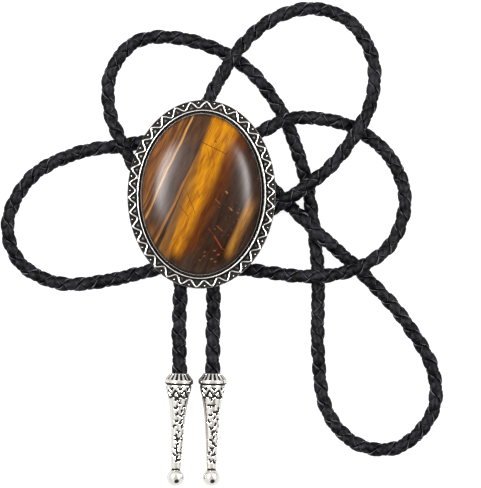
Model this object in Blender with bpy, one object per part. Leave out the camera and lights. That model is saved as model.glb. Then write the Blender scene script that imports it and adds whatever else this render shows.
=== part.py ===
# Bolo tie: an oval cast slide with a domed stone, on one long braided leather cord with two cast tips.
# The tie lies flat. The floor is z = 0, +Y points from the tips to the top of the slide.
# The origin lies below the middle of the slide and the tips together.

import math
import bmesh
import bpy
from mathutils import Matrix, Vector

MM = 0.001

# Cord
CORD_DIAMETER = 4.1 * MM
CORD_POINT_TURN = 20.0  # degrees of bend between two points of the tube
CROSSING_GAP = 0.6 * MM  # spare height where one run of cord passes over another
SEAT_GAP = 0.3 * MM  # clearance between pieces that bear on each other

# Stone and bezel
STONE_WIDTH = 39.2 * MM
STONE_LENGTH = 52.0 * MM
STONE_HEIGHT = 9.0 * MM
STONE_GIRDLE = 1.4 * MM  # height of the upright wall below the dome
STONE_DOME_POWER = 2.3  # 2 is a plain ellipse, more is fuller at the shoulder
STONE_RINGS = 10
BEZEL_WALL = 1.0 * MM
BEZEL_HEIGHT = 2.1 * MM
BEZEL_ROUND = 0.3 * MM

# Plate and its border
BORDER_WIDTH = 2.95 * MM  # from the bezel to the plate's edge
PLATE_THICKNESS = 1.6 * MM
PLATE_EDGE_ROUND = 0.5 * MM
RIM_WIDTH = 0.45 * MM
RIM_HEIGHT = 0.5 * MM
RIM_SLOPE = 0.15 * MM

# Border relief
TOOTH_COUNT = 34
TOOTH_PHASE = 4.8  # degrees clockwise from the top to the first peak
RIDGE_WIDTH = 0.75 * MM
RIDGE_HEIGHT = 0.55 * MM
BEAD_DIAMETER = 0.7 * MM
BEAD_HEIGHT = 0.35 * MM
WEDGE_WIDTH = 0.9 * MM
WEDGE_HEIGHT = 0.3 * MM
RELIEF_SINK = 0.2 * MM  # how deep the relief is rooted in the plate
BEAD_PLACE = 0.24  # share of the border's width in from the rim
WEDGE_PLACE = 0.26  # share of the border's width out from the bezel

# Clasp
CLASP_LENGTH = 14.5 * MM
CLASP_BACK = 1.0 * MM
CLASP_SIDE = 1.2 * MM
CHANNEL_SPACING = 10.0 * MM
CLASP_SHIFT = -1.7 * MM  # from the middle of the plate

# Tips
TIP_DROP = 57.5 * MM  # from the middle of the slide down to the mouth of the tips
TIP_LENGTH = 36.5 * MM
TIP_FLANGE_DIAMETER = 9.2 * MM
TIP_BALL_DIAMETER = 5.6 * MM
TIP_NECK_DIAMETER = 2.8 * MM
SOCKET_DEPTH = 8.0 * MM
TIP_SIDES = 24
TIP_LEFT_X = -7.0 * MM
TIP_RIGHT_X = 3.8 * MM
TIP_LEFT_LEAN = -2.1  # degrees, outwards at the ball
TIP_RIGHT_LEAN = -0.8
RIB_COUNT = 16
RIB_WIDTH = 0.6 * MM
RIB_HEIGHT = 0.3 * MM
CHEVRON_COUNT = 8
CHEVRON_WIDTH = 0.9 * MM  # measured along the tip
MARK_WIDTH = 0.45 * MM
MARK_DEPTH = 0.25 * MM
MARK_ROWS = 5
MARKS_AROUND = 5

# Levels and places that follow from the sizes above
CORD_RADIUS = CORD_DIAMETER / 2
CORD_LIFT = CORD_DIAMETER + CROSSING_GAP
UPPER_CORD_Z = CORD_RADIUS + CORD_LIFT
PLATE_BOTTOM_Z = UPPER_CORD_Z + CORD_RADIUS + SEAT_GAP
FLOOR_Z = PLATE_BOTTOM_Z + PLATE_THICKNESS
PLATE_WIDTH = STONE_WIDTH + 2 * (SEAT_GAP + BEZEL_WALL + BORDER_WIDTH)
PLATE_LENGTH = STONE_LENGTH + 2 * (SEAT_GAP + BEZEL_WALL + BORDER_WIDTH)
SLIDE_Y = (PLATE_LENGTH / 2 + TIP_DROP + TIP_LENGTH) / 2 - PLATE_LENGTH / 2
OVAL_SEGMENTS = TOOTH_COUNT * 2

# The cord's route from the left tip to the right tip, in millimetres from the middle of the slide.
# Each row is x, y and lift: 0 lies on the floor, 1 lies on top of another run of cord.
# The two ends inside the tips follow from where the tips lie.
CORD_ROUTE = [
    # from the left tip up over the lower run and through the clasp
    (-7.0, -43.0, 0.35), (-6.5, -29.0, 1.00), (-5.5, -17.0, 1.00), (-5.0, -9.0, 1.00),
    (-5.0, -1.0, 1.00), (-5.0, 6.0, 1.00), (-4.0, 13.5, 1.00), (1.7, 28.9, 1.00),
    # upper right loop
    (9.3, 42.8, 1.00), (17.2, 52.3, 0.20), (26.6, 58.3, 0.00), (38.0, 60.0, 0.00),
    (48.5, 55.5, 0.00), (55.3, 44.4, 0.00), (55.5, 33.0, 0.40), (52.4, 23.8, 1.00),
    (43.0, 10.5, 1.00), (34.5, 3.2, 1.00), (25.0, -3.3, 1.00),
    # low behind the slide, under both runs to the tips
    (13.5, -10.5, 0.20), (0.5, -15.0, 0.00), (-12.5, -10.0, 0.15), (-20.5, 7.0, 1.00),
    # upper left loop and the long run down to the lower right
    (-25.5, 17.0, 1.00), (-29.3, 26.5, 0.10), (-29.3, 38.6, 0.00), (-22.5, 48.5, 0.00),
    (-11.5, 51.0, 0.00), (3.1, 47.8, 0.00), (14.9, 40.9, 0.00), (24.2, 29.6, 0.00),
    (30.0, 17.5, 0.00), (34.1, 3.5, 0.00), (36.6, -12.5, 0.00), (37.8, -27.5, 0.00),
    # lower right loop, then back up behind the slide
    (37.7, -49.0, 0.00), (40.4, -69.0, 0.00), (50.1, -80.2, 0.00), (64.1, -81.2, 0.00),
    (74.7, -70.1, 0.00), (74.6, -56.0, 0.00), (65.0, -39.5, 0.00), (53.3, -26.6, 0.00),
    (44.6, -18.4, 0.50), (35.7, -10.3, 1.00), (27.0, -2.0, 0.10),
    (16.5, 8.5, 0.00), (3.5, 17.0, 0.00), (-11.5, 18.0, 0.00), (-25.5, 16.0, 0.00),
    # left loop and the low run across to the right
    (-40.0, 13.5, 0.00), (-54.5, 6.0, 0.00), (-62.2, -8.0, 0.00), (-58.6, -21.6, 0.00),
    (-45.5, -28.5, 0.00), (-29.0, -27.3, 0.00), (-11.5, -23.5, 0.00), (4.0, -23.0, 0.00),
    # right loop
    (19.5, -24.7, 0.00), (30.5, -26.0, 0.70), (41.0, -26.0, 1.00), (52.0, -23.0, 1.00),
    (61.5, -15.5, 0.10), (65.9, -1.5, 0.00), (61.1, 12.1, 0.00), (50.5, 21.0, 0.00),
    (39.5, 24.5, 0.50), (28.5, 24.5, 1.00), (17.5, 19.4, 1.00), (8.5, 14.5, 1.00),
    # through the clasp and down to the right tip
    (5.5, 10.0, 1.00), (5.0, 6.0, 1.00), (5.0, -1.0, 1.00), (5.0, -9.0, 1.00), (4.5, -17.0, 1.00),
    (4.0, -29.0, 1.00), (4.0, -43.0, 0.35),
]

# One side of the ridge from its foot to its crest: share of its width from the middle, share of its height
RIDGE_SECTION = [(0.5, 0.35), (0.2, 1.0)]

# The turned outline of a tip: share of its length from the mouth, and share of the flange's radius
FLANGE_END = 0.100
TIP_PROFILE = [
    (0.000, 0.68), (0.055, 0.95), (0.065, 1.00), (FLANGE_END, 1.00), (0.106, 0.86), (0.114, 0.92),
    (0.200, 0.74), (0.400, 0.52), (0.620, 0.43), (0.820, 0.36),
]

# Where the ornament of a tip lies, as shares of its length from the mouth
RIB_SPAN = (0.010, 0.052)
CHEVRON_SPAN = (0.140, 0.205)
MARK_SPAN = (0.28, 0.76)
MARK_SHAPE = (0.30, 0.024)  # half a mark's turn round the tip in radians, and half its height


def clear_scene():
    for old_object in list(bpy.data.objects):
        bpy.data.objects.remove(old_object, do_unlink=True)


def make_material(name, color, roughness, metallic):
    material = bpy.data.materials.new(name)
    material.use_nodes = True
    shader = material.node_tree.nodes["Principled BSDF"]
    shader.inputs["Base Color"].default_value = (*color, 1.0)
    shader.inputs["Roughness"].default_value = roughness
    shader.inputs["Metallic"].default_value = metallic
    return material


def make_collection(name):
    collection = bpy.data.collections.new(name)
    bpy.context.scene.collection.children.link(collection)
    return collection


def object_from_bmesh(name, bm, collection, material=None):
    bmesh.ops.recalc_face_normals(bm, faces=bm.faces)
    mesh = bpy.data.meshes.new(name)
    bm.to_mesh(mesh)
    bm.free()
    if material:
        mesh.materials.append(material)
    new_object = bpy.data.objects.new(name, mesh)
    collection.objects.link(new_object)
    return new_object


def shade(new_object, degrees=35.0):
    new_object.data.shade_smooth()
    new_object.data.set_sharp_from_angle(angle=math.radians(degrees))


def add_boolean(target, cutter, operation):
    cutter.hide_render = True
    cutter.display_type = "WIRE"
    modifier = target.modifiers.new(cutter.name, "BOOLEAN")
    modifier.operation = operation
    modifier.object = cutter


def bridge_rings(bm, rings, capped=True):
    # Joins each ring of vertices to the next with quads, and closes both ends with one flat face.
    for lower, upper in zip(rings, rings[1:]):
        for i in range(len(lower)):
            j = (i + 1) % len(lower)
            bm.faces.new((lower[i], lower[j], upper[j], upper[i]))
    if capped:
        bm.faces.new(list(reversed(rings[0])))
        bm.faces.new(rings[-1])


def close_loop(bm, rings):
    # Joins each ring of vertices to the next, and the last to the first.
    for i, ring in enumerate(rings):
        following = rings[(i + 1) % len(rings)]
        for a in range(len(ring)):
            b = (a + 1) % len(ring)
            bm.faces.new((ring[a], ring[b], following[b], following[a]))


def oval_point(turn, half_width, half_length):
    # A point of the oval, with turn 0 at the top and growing clockwise.
    return half_width * math.sin(turn), half_length * math.cos(turn)


def even_turns(count):
    # Turns at which points lie evenly along the plate's edge, from the first peak on.
    samples = 720
    turns = [math.radians(TOOTH_PHASE) + math.tau * i / samples for i in range(samples + 1)]
    points = [Vector(oval_point(turn, PLATE_WIDTH / 2, PLATE_LENGTH / 2)) for turn in turns]
    reach = [0.0]
    for before, after in zip(points, points[1:]):
        reach.append(reach[-1] + (after - before).length)
    chosen = []
    place = 0
    for k in range(count):
        target = reach[-1] * k / count
        while reach[place + 1] < target:
            place += 1
        share = (target - reach[place]) / (reach[place + 1] - reach[place])
        chosen.append(turns[place] + share * (turns[place + 1] - turns[place]))
    return chosen


def edge_frame(turn, inset):
    # A point inset from the plate's edge and the outward direction there.
    x, y = oval_point(turn, PLATE_WIDTH / 2, PLATE_LENGTH / 2)
    outward = Vector((x / PLATE_WIDTH ** 2, y / PLATE_LENGTH ** 2)).normalized()
    return Vector((x, y)) - outward * inset, outward


def oval_loft(bm, rows, capped=True):
    # Each row is the inset from the plate's edge and the height of one oval ring.
    rings = []
    for inset, z in rows:
        ring = []
        for turn in even_turns(OVAL_SEGMENTS):
            point, outward = edge_frame(turn, inset)
            ring.append(bm.verts.new((point.x, point.y, z)))
        rings.append(ring)
    bridge_rings(bm, rings, capped)


def build_plate(collection, material):
    # Plate, rim, border floor, bezel wall and the recess for the stone in one lofted section.
    recess_inset = BORDER_WIDTH + BEZEL_WALL
    rim_top = FLOOR_Z + RIM_HEIGHT
    bezel_top = FLOOR_Z + BEZEL_HEIGHT
    rows = [
        (PLATE_EDGE_ROUND, PLATE_BOTTOM_Z),
        (0.0, PLATE_BOTTOM_Z + PLATE_EDGE_ROUND),
        (0.0, rim_top - RIM_SLOPE),
        (RIM_SLOPE, rim_top),
        (RIM_WIDTH - RIM_SLOPE, rim_top),
        (RIM_WIDTH, FLOOR_Z),
        (BORDER_WIDTH, FLOOR_Z),
        (BORDER_WIDTH, bezel_top - BEZEL_ROUND),
        (BORDER_WIDTH + BEZEL_ROUND, bezel_top),
        (recess_inset - BEZEL_ROUND, bezel_top),
        (recess_inset, bezel_top - BEZEL_ROUND),
        (recess_inset, FLOOR_Z),
    ]
    bm = bmesh.new()
    oval_loft(bm, rows)
    return object_from_bmesh("setting", bm, collection, material)


def add_ridge(bm):
    # A rounded ridge zigzags between the bezel and the rim, and its mitred corners run into both.
    outer_inset = RIM_WIDTH + RIDGE_WIDTH / 2
    inner_inset = BORDER_WIDTH - RIDGE_WIDTH / 2
    corners = []
    for k, turn in enumerate(even_turns(TOOTH_COUNT * 2)):
        corners.append(edge_frame(turn, outer_inset if k % 2 == 0 else inner_inset)[0])
    right = [(share, level * RIDGE_HEIGHT) for share, level in RIDGE_SECTION]
    right.insert(0, (right[0][0], -RELIEF_SINK))
    section = [(-share, z) for share, z in right] + right[::-1]
    rings = []
    for k, corner in enumerate(corners):
        before = (corner - corners[k - 1]).normalized()
        after = (corners[(k + 1) % len(corners)] - corner).normalized()
        along = (before + after).normalized()
        across = Vector((along.y, -along.x))
        stretch = 1 / max(across.dot(Vector((before.y, -before.x))), 0.5)
        ring = []
        for share, z in section:
            point = corner + across * (share * RIDGE_WIDTH * stretch)
            ring.append(bm.verts.new((point.x, point.y, FLOOR_Z + z)))
        rings.append(ring)
    close_loop(bm, rings)


def add_beads_and_wedges(bm):
    # A bead fills each gap at the rim, and a small wedge points outwards in each gap at the bezel.
    border_width = BORDER_WIDTH - RIM_WIDTH
    for k, turn in enumerate(even_turns(TOOTH_COUNT * 2)):
        if k % 2 == 1:
            point, outward = edge_frame(turn, RIM_WIDTH + BEAD_PLACE * border_width)
            place = Matrix.Translation((point.x, point.y, FLOOR_Z))
            squash = Matrix.Diagonal((1, 1, BEAD_HEIGHT / (BEAD_DIAMETER / 2), 1))
            bmesh.ops.create_uvsphere(
                bm, u_segments=8, v_segments=4, radius=BEAD_DIAMETER / 2, matrix=place @ squash)
        else:
            point, outward = edge_frame(turn, BORDER_WIDTH - WEDGE_PLACE * border_width)
            facing = Matrix.Rotation(math.atan2(outward.y, outward.x), 4, "Z")
            lift = (WEDGE_HEIGHT - RELIEF_SINK) / 2
            place = Matrix.Translation((point.x, point.y, FLOOR_Z + lift))
            bmesh.ops.create_cone(
                bm, cap_ends=True, segments=3, radius1=WEDGE_WIDTH / 2, radius2=WEDGE_WIDTH / 4,
                depth=WEDGE_HEIGHT + RELIEF_SINK, matrix=place @ facing)


def build_setting(collection, cutters, material):
    setting = build_plate(collection, material)
    bm = bmesh.new()
    add_ridge(bm)
    ridge = object_from_bmesh("ridge", bm, cutters)
    bm = bmesh.new()
    add_beads_and_wedges(bm)
    beads = object_from_bmesh("beads_and_wedges", bm, cutters)
    add_boolean(setting, ridge, "UNION")
    add_boolean(setting, beads, "UNION")
    shade(setting)
    return [setting, ridge, beads]


def build_stone(collection, material):
    # An upright girdle and a dome whose plan keeps an even distance from the bezel all round.
    base_inset = BORDER_WIDTH + BEZEL_WALL + SEAT_GAP
    base_z = FLOOR_Z + SEAT_GAP
    dome_height = STONE_HEIGHT - STONE_GIRDLE
    bm = bmesh.new()
    rings = []
    levels = [0.0] + [math.sin(math.pi / 2 * k / STONE_RINGS) for k in range(STONE_RINGS)]
    turns = even_turns(OVAL_SEGMENTS)
    for k, level in enumerate(levels):
        z = base_z if k == 0 else base_z + STONE_GIRDLE + dome_height * level
        share = (1 - level ** STONE_DOME_POWER) ** (1 / STONE_DOME_POWER) if k else 1.0
        ring = []
        for turn in turns:
            point = edge_frame(turn, base_inset)[0] * share
            ring.append(bm.verts.new((point.x, point.y, z)))
        rings.append(ring)
    bridge_rings(bm, rings, capped=False)
    bm.faces.new(list(reversed(rings[0])))
    crown = bm.verts.new((0, 0, base_z + STONE_HEIGHT))
    for i in range(OVAL_SEGMENTS):
        bm.faces.new((rings[-1][i], rings[-1][(i + 1) % OVAL_SEGMENTS], crown))
    stone = object_from_bmesh("stone", bm, collection, material)
    shade(stone, 50.0)
    return stone


def build_clasp(collection, material):
    # A plain clip: a flat back and three walls leave two round-bottomed channels for the cord.
    channel_radius = CORD_RADIUS + SEAT_GAP
    half_width = CHANNEL_SPACING / 2 + channel_radius + CLASP_SIDE
    top = PLATE_BOTTOM_Z - SEAT_GAP
    bottom = UPPER_CORD_Z - channel_radius - CLASP_BACK
    outline = [(-half_width, bottom), (half_width, bottom), (half_width, top)]
    for middle in (CHANNEL_SPACING / 2, -CHANNEL_SPACING / 2):
        outline.append((middle + channel_radius, top))
        for k in range(9):
            angle = -math.pi * k / 8
            outline.append((middle + channel_radius * math.cos(angle),
                            UPPER_CORD_Z + channel_radius * math.sin(angle)))
        outline.append((middle - channel_radius, top))
    outline.append((-half_width, top))
    bm = bmesh.new()
    rings = []
    for y in (CLASP_SHIFT - CLASP_LENGTH / 2, CLASP_SHIFT + CLASP_LENGTH / 2):
        rings.append([bm.verts.new((x, y, z)) for x, z in outline])
    bridge_rings(bm, rings)
    return object_from_bmesh("clasp", bm, collection, material)


def route_points():
    # The route's own points in metres, with the ends inside the tips added.
    points = []
    for x, y, lift in CORD_ROUTE:
        points.append(Vector((x * MM, y * MM + SLIDE_Y, CORD_RADIUS + lift * CORD_LIFT)))
    left = tip_place(TIP_LEFT_X, TIP_LEFT_LEAN)
    right = tip_place(TIP_RIGHT_X, TIP_RIGHT_LEAN)
    mouth = Vector((0, 0, 0))
    cord_end = Vector((0, SEAT_GAP - SOCKET_DEPTH, 0))
    return [left @ cord_end, left @ mouth] + points + [right @ mouth, right @ cord_end]


def span_points(start, end, start_slope, end_slope, span, count):
    # Points on the smooth curve from one of the route's points up to the next one.
    chosen = []
    for k in range(count):
        t = k / count
        point = start * (2 * t ** 3 - 3 * t ** 2 + 1) + end * (3 * t ** 2 - 2 * t ** 3)
        point += (start_slope * (t ** 3 - 2 * t ** 2 + t) + end_slope * (t ** 3 - t ** 2)) * span
        point.z = max(point.z, CORD_RADIUS)
        chosen.append(point)
    return chosen


def smooth_route():
    # A smooth curve through the route's points, read more closely where it bends more.
    points = route_points()
    knots = [0.0]
    for before, after in zip(points, points[1:]):
        knots.append(knots[-1] + math.sqrt((after - before).length))
    last = len(points) - 1
    slopes = []
    for i in range(len(points)):
        low, high = max(i - 1, 0), min(i + 1, last)
        slopes.append((points[high] - points[low]) / (knots[high] - knots[low]))
    curve = []
    for i in range(last):
        turn = math.degrees(slopes[i].angle(slopes[i + 1]))
        count = max(1, round(turn / CORD_POINT_TURN))
        span = knots[i + 1] - knots[i]
        curve += span_points(points[i], points[i + 1], slopes[i], slopes[i + 1], span, count)
    curve.append(points[last])
    return curve


def build_cord(collection, material):
    points = smooth_route()
    curve = bpy.data.curves.new("cord", "CURVE")
    curve.dimensions = "3D"
    curve.bevel_depth = CORD_RADIUS
    curve.bevel_resolution = 3
    curve.use_fill_caps = True
    spline = curve.splines.new("POLY")
    spline.points.add(len(points) - 1)
    for spline_point, point in zip(spline.points, points):
        spline_point.co = (*point, 1.0)
    curve.materials.append(material)
    cord = bpy.data.objects.new("cord", curve)
    collection.objects.link(cord)
    return cord


def tip_outline():
    # The turned outline from the mouth down to the neck, then round the ball.
    flange_radius = TIP_FLANGE_DIAMETER / 2
    ball_radius = TIP_BALL_DIAMETER / 2
    neck_radius = TIP_NECK_DIAMETER / 2
    outline = [(along * TIP_LENGTH, share * flange_radius) for along, share in TIP_PROFILE]
    ball_middle = TIP_LENGTH - ball_radius
    start = math.asin(neck_radius / ball_radius)
    outline.append((ball_middle - ball_radius * math.cos(start) - 0.3 * MM, neck_radius))
    for k in range(8):
        angle = start + (math.pi - start) * k / 8
        outline.append((ball_middle - ball_radius * math.cos(angle), ball_radius * math.sin(angle)))
    return outline


def tip_radius(along):
    # The radius of the turned outline at a distance from the mouth.
    outline = tip_outline()
    for (start, low), (end, high) in zip(outline, outline[1:]):
        if start <= along <= end:
            return low + (high - low) * (along - start) / (end - start)
    return outline[-1][1]


def build_tip_body(name, collection, material):
    bm = bmesh.new()
    rings = []
    for along, radius in tip_outline():
        ring = []
        for k in range(TIP_SIDES):
            angle = math.tau * k / TIP_SIDES
            ring.append(bm.verts.new((radius * math.cos(angle), -along, radius * math.sin(angle))))
        rings.append(ring)
    bridge_rings(bm, rings, capped=False)
    bm.faces.new(list(reversed(rings[0])))
    end = bm.verts.new((0, -TIP_LENGTH, 0))
    for i in range(TIP_SIDES):
        bm.faces.new((rings[-1][i], rings[-1][(i + 1) % TIP_SIDES], end))
    return object_from_bmesh(name, bm, collection, material)


def add_bar(bm, start, end, width, height):
    # A bar half sunk in the tip between two places, each an angle and a distance from the mouth.
    sides = []
    for angle, along in (start, end):
        radius = tip_radius(along)
        outward = Vector((math.cos(angle), 0, math.sin(angle)))
        sides.append((outward * radius + Vector((0, -along, 0)), outward))
    line = sides[1][0] - sides[0][0]
    rings = []
    for middle, outward in sides:
        across = outward.cross(line).normalized()
        ring = []
        for side, level in ((-0.5, -1), (-0.5, 1), (0.5, 1), (0.5, -1)):
            ring.append(bm.verts.new(middle + across * (side * width) + outward * (level * height)))
        rings.append(ring)
    bridge_rings(bm, rings)


def add_ribs(bm):
    # Raised ribs round the collar.
    top, bottom = (share * TIP_LENGTH for share in RIB_SPAN)
    for k in range(RIB_COUNT):
        angle = math.tau * (k + 0.5) / RIB_COUNT
        add_bar(bm, (angle, top), (angle, bottom), RIB_WIDTH, RIB_HEIGHT)


def add_chevron_groove(bm):
    # One zigzag groove round the body below the flange.
    rings = []
    for k in range(CHEVRON_COUNT * 2):
        angle = math.pi * k / CHEVRON_COUNT
        along = CHEVRON_SPAN[k % 2] * TIP_LENGTH
        radius = tip_radius(along)
        ring = []
        for level, side in ((-1, -0.2), (1, -0.5), (1, 0.5), (-1, 0.2)):
            reach = radius + level * MARK_DEPTH
            place = along + side * CHEVRON_WIDTH
            ring.append(bm.verts.new((reach * math.cos(angle), -place, reach * math.sin(angle))))
        rings.append(ring)
    close_loop(bm, rings)


def add_marks(bm):
    # Rows of short slanting grooves down the taper.
    first_row, last_row = MARK_SPAN
    half_height = MARK_SHAPE[1] * TIP_LENGTH
    for row in range(MARK_ROWS):
        along = TIP_LENGTH * (first_row + (last_row - first_row) * row / (MARK_ROWS - 1))
        for k in range(MARKS_AROUND):
            angle = math.tau * (k + 0.5 * (row % 2)) / MARKS_AROUND
            turn = MARK_SHAPE[0] if (row + k) % 2 else -MARK_SHAPE[0]
            start = (angle - turn, along - half_height)
            end = (angle + turn, along + half_height)
            add_bar(bm, start, end, MARK_WIDTH, MARK_DEPTH)


def add_socket(bm):
    # The round hole that the cord's end is fixed in.
    radius = CORD_RADIUS + SEAT_GAP
    bmesh.ops.create_cone(
        bm, cap_ends=True, segments=16, radius1=radius, radius2=radius,
        depth=SOCKET_DEPTH * 2, matrix=Matrix.Rotation(math.radians(90), 4, "X"))


def tip_place(x, lean):
    # The tip lies on its flange and its ball, leaning a little to one side.
    flange_radius = TIP_FLANGE_DIAMETER / 2
    ball_radius = TIP_BALL_DIAMETER / 2
    flange_end = FLANGE_END * TIP_LENGTH
    run = TIP_LENGTH - ball_radius - flange_end
    pitch = math.atan2(flange_radius, run) - math.asin(ball_radius / math.hypot(flange_radius, run))
    height = flange_radius * math.cos(pitch) + flange_end * math.sin(pitch)
    turn = Matrix.Rotation(math.radians(lean), 4, "Z") @ Matrix.Rotation(pitch, 4, "X")
    return Matrix.Translation((x, SLIDE_Y - TIP_DROP, height)) @ turn


def build_tip(name, x, lean, collection, cutters, material):
    pieces = [build_tip_body(name, collection, material)]
    for kind, adder, operation in (
            ("ribs", add_ribs, "UNION"), ("chevrons", add_chevron_groove, "DIFFERENCE"),
            ("marks", add_marks, "DIFFERENCE"), ("socket", add_socket, "DIFFERENCE")):
        bm = bmesh.new()
        adder(bm)
        cutter = object_from_bmesh(f"{name}_{kind}", bm, cutters)
        add_boolean(pieces[0], cutter, operation)
        pieces.append(cutter)
    shade(pieces[0])
    for piece in pieces:
        piece.matrix_world = tip_place(x, lean)


def place_slide(objects):
    for piece in objects:
        piece.location.y = SLIDE_Y


def main():
    clear_scene()
    parts = make_collection("bolo_tie")
    cutters = make_collection("cutters")
    silver = make_material("antique_silver", (0.62, 0.60, 0.57), 0.32, 1.0)
    steel = make_material("plain_steel", (0.55, 0.55, 0.56), 0.4, 1.0)
    gemstone = make_material("tigers_eye", (0.28, 0.11, 0.02), 0.12, 0.0)
    leather = make_material("black_leather", (0.012, 0.012, 0.014), 0.45, 0.0)
    slide = build_setting(parts, cutters, silver)
    slide.append(build_stone(parts, gemstone))
    slide.append(build_clasp(parts, steel))
    place_slide(slide)
    build_cord(parts, leather)
    build_tip("tip_left", TIP_LEFT_X, TIP_LEFT_LEAN, parts, cutters, silver)
    build_tip("tip_right", TIP_RIGHT_X, TIP_RIGHT_LEAN, parts, cutters, silver)
    bpy.context.view_layer.update()


main()
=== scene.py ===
# Bolo tie laid flat: braided leather cord, cast silver slide with a tiger's eye cabochon, two cast silver tips.
# Lengths in the dictionaries are millimetres. The objects are in metres, in the frame's own place.
import math
import random

import bmesh
import bpy
import numpy as np
from mathutils import Matrix, Vector


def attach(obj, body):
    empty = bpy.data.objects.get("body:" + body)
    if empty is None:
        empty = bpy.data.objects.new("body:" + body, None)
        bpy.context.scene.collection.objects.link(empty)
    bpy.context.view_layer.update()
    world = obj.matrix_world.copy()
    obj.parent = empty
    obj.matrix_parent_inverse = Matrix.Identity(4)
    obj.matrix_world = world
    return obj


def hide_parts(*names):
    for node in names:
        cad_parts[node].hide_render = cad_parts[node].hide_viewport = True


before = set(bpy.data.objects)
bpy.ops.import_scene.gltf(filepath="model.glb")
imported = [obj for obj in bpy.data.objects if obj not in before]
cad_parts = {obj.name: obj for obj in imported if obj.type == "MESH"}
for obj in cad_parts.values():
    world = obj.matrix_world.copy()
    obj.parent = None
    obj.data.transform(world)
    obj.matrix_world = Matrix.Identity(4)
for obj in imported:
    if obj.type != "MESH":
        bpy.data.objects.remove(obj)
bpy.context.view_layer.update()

mm = 0.001


def linearColor(hexText):
    # sRGB hex to the linear colour that the shaders take
    channels = [int(hexText[i:i + 2], 16) / 255 for i in (1, 3, 5)]
    return [c / 12.92 if c <= 0.04045 else ((c + 0.055) / 1.055) ** 2.4 for c in channels] + [1.0]


def addNode(tree, kind, sockets=None, **settings):
    # one node with its settings; a socket is given a value or the output that feeds it
    node = tree.nodes.new("ShaderNode" + kind)
    for name, value in settings.items():
        setattr(node, name, value)
    for socket, value in (sockets or {}).items():
        if isinstance(value, bpy.types.NodeSocket):
            tree.links.new(value, node.inputs[socket])
        else:
            node.inputs[socket].default_value = value
    return node


def startMaterial(name, values):
    material = bpy.data.materials.new(name)
    material.use_nodes = True
    shader = material.node_tree.nodes["Principled BSDF"]
    for socket, value in values.items():
        shader.inputs[socket].default_value = value
    return material, material.node_tree, shader


def makePiece(name, points, faces, material, smoothAngle):
    mesh = bpy.data.meshes.new(name)
    mesh.from_pydata([tuple(p) for p in points], [], faces)
    work = bmesh.new()
    work.from_mesh(mesh)
    bmesh.ops.recalc_face_normals(work, faces=work.faces)
    work.to_mesh(mesh)
    work.free()
    mesh.materials.append(material)
    mesh.shade_smooth()
    mesh.set_sharp_from_angle(angle=math.radians(smoothAngle))
    piece = bpy.data.objects.new(name, mesh)
    bpy.context.scene.collection.objects.link(piece)
    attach(piece, "root")
    return piece


def gridFaces(rings, sides):
    # quads between rings of points that go all the way round
    faces = []
    for ring in range(rings - 1):
        for k in range(sides):
            low, high = ring * sides, (ring + 1) * sides
            faces.append((low + k, low + (k + 1) % sides, high + (k + 1) % sides, high + k))
    return faces


def tubeFaces(rings, sides, base):
    # the same with both ends closed, for points that are counted from base
    faces = gridFaces(rings, sides) + [tuple(range(sides)), tuple(range((rings - 1) * sides, rings * sides))]
    return [tuple(base + k for k in face) for face in faces]


def domeFaces(rings, sides):
    # the same with the first ring closed and the last one drawn together in the point that comes after it
    last = (rings - 1) * sides
    fan = [(last + k, last + (k + 1) % sides, last + sides) for k in range(sides)]
    return gridFaces(rings, sides) + fan + [tuple(range(sides))]


def storeValues(piece, name, values):
    # one number a point that the material reads
    layer = piece.data.attributes.new(name, "FLOAT", "POINT")
    layer.data.foreach_set("value", np.asarray(values, dtype=np.float32).ravel())


def smoothStep(values, low, high):
    share = np.clip((values - low) / (high - low), 0, 1)
    return share * share * (3 - 2 * share)


# the camera looks straight down on the tie, as in the photo

view = {
    "pixelsPerMm": 3.1,
    "slidePixel": (200.45, 194.45),  # the slide's centre in the photo
    "framePixel": (240.0, 243.5),   # the photo's own centre
    "frameHeight": 488,
    "slideY": 31.875,               # the slide's centre in the frame
    "cameraHeight": 600.0,
}
scale = view["pixelsPerMm"]
cameraX = (view["framePixel"][0] - view["slidePixel"][0]) / scale
cameraY = view["slideY"] + (view["slidePixel"][1] - view["framePixel"][1]) / scale
cameraData = bpy.data.cameras.new("camera")
cameraData.type = "ORTHO"
cameraData.ortho_scale = view["frameHeight"] / scale * mm
camera = bpy.data.objects.new("camera", cameraData)
camera.location = (cameraX * mm, cameraY * mm, view["cameraHeight"] * mm)
bpy.context.scene.collection.objects.link(camera)
bpy.context.scene.camera = camera
bpy.context.scene.view_settings.view_transform = "Standard"
print("camera set")


# one length of four-lace braided leather, laid on the table in loops

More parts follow.
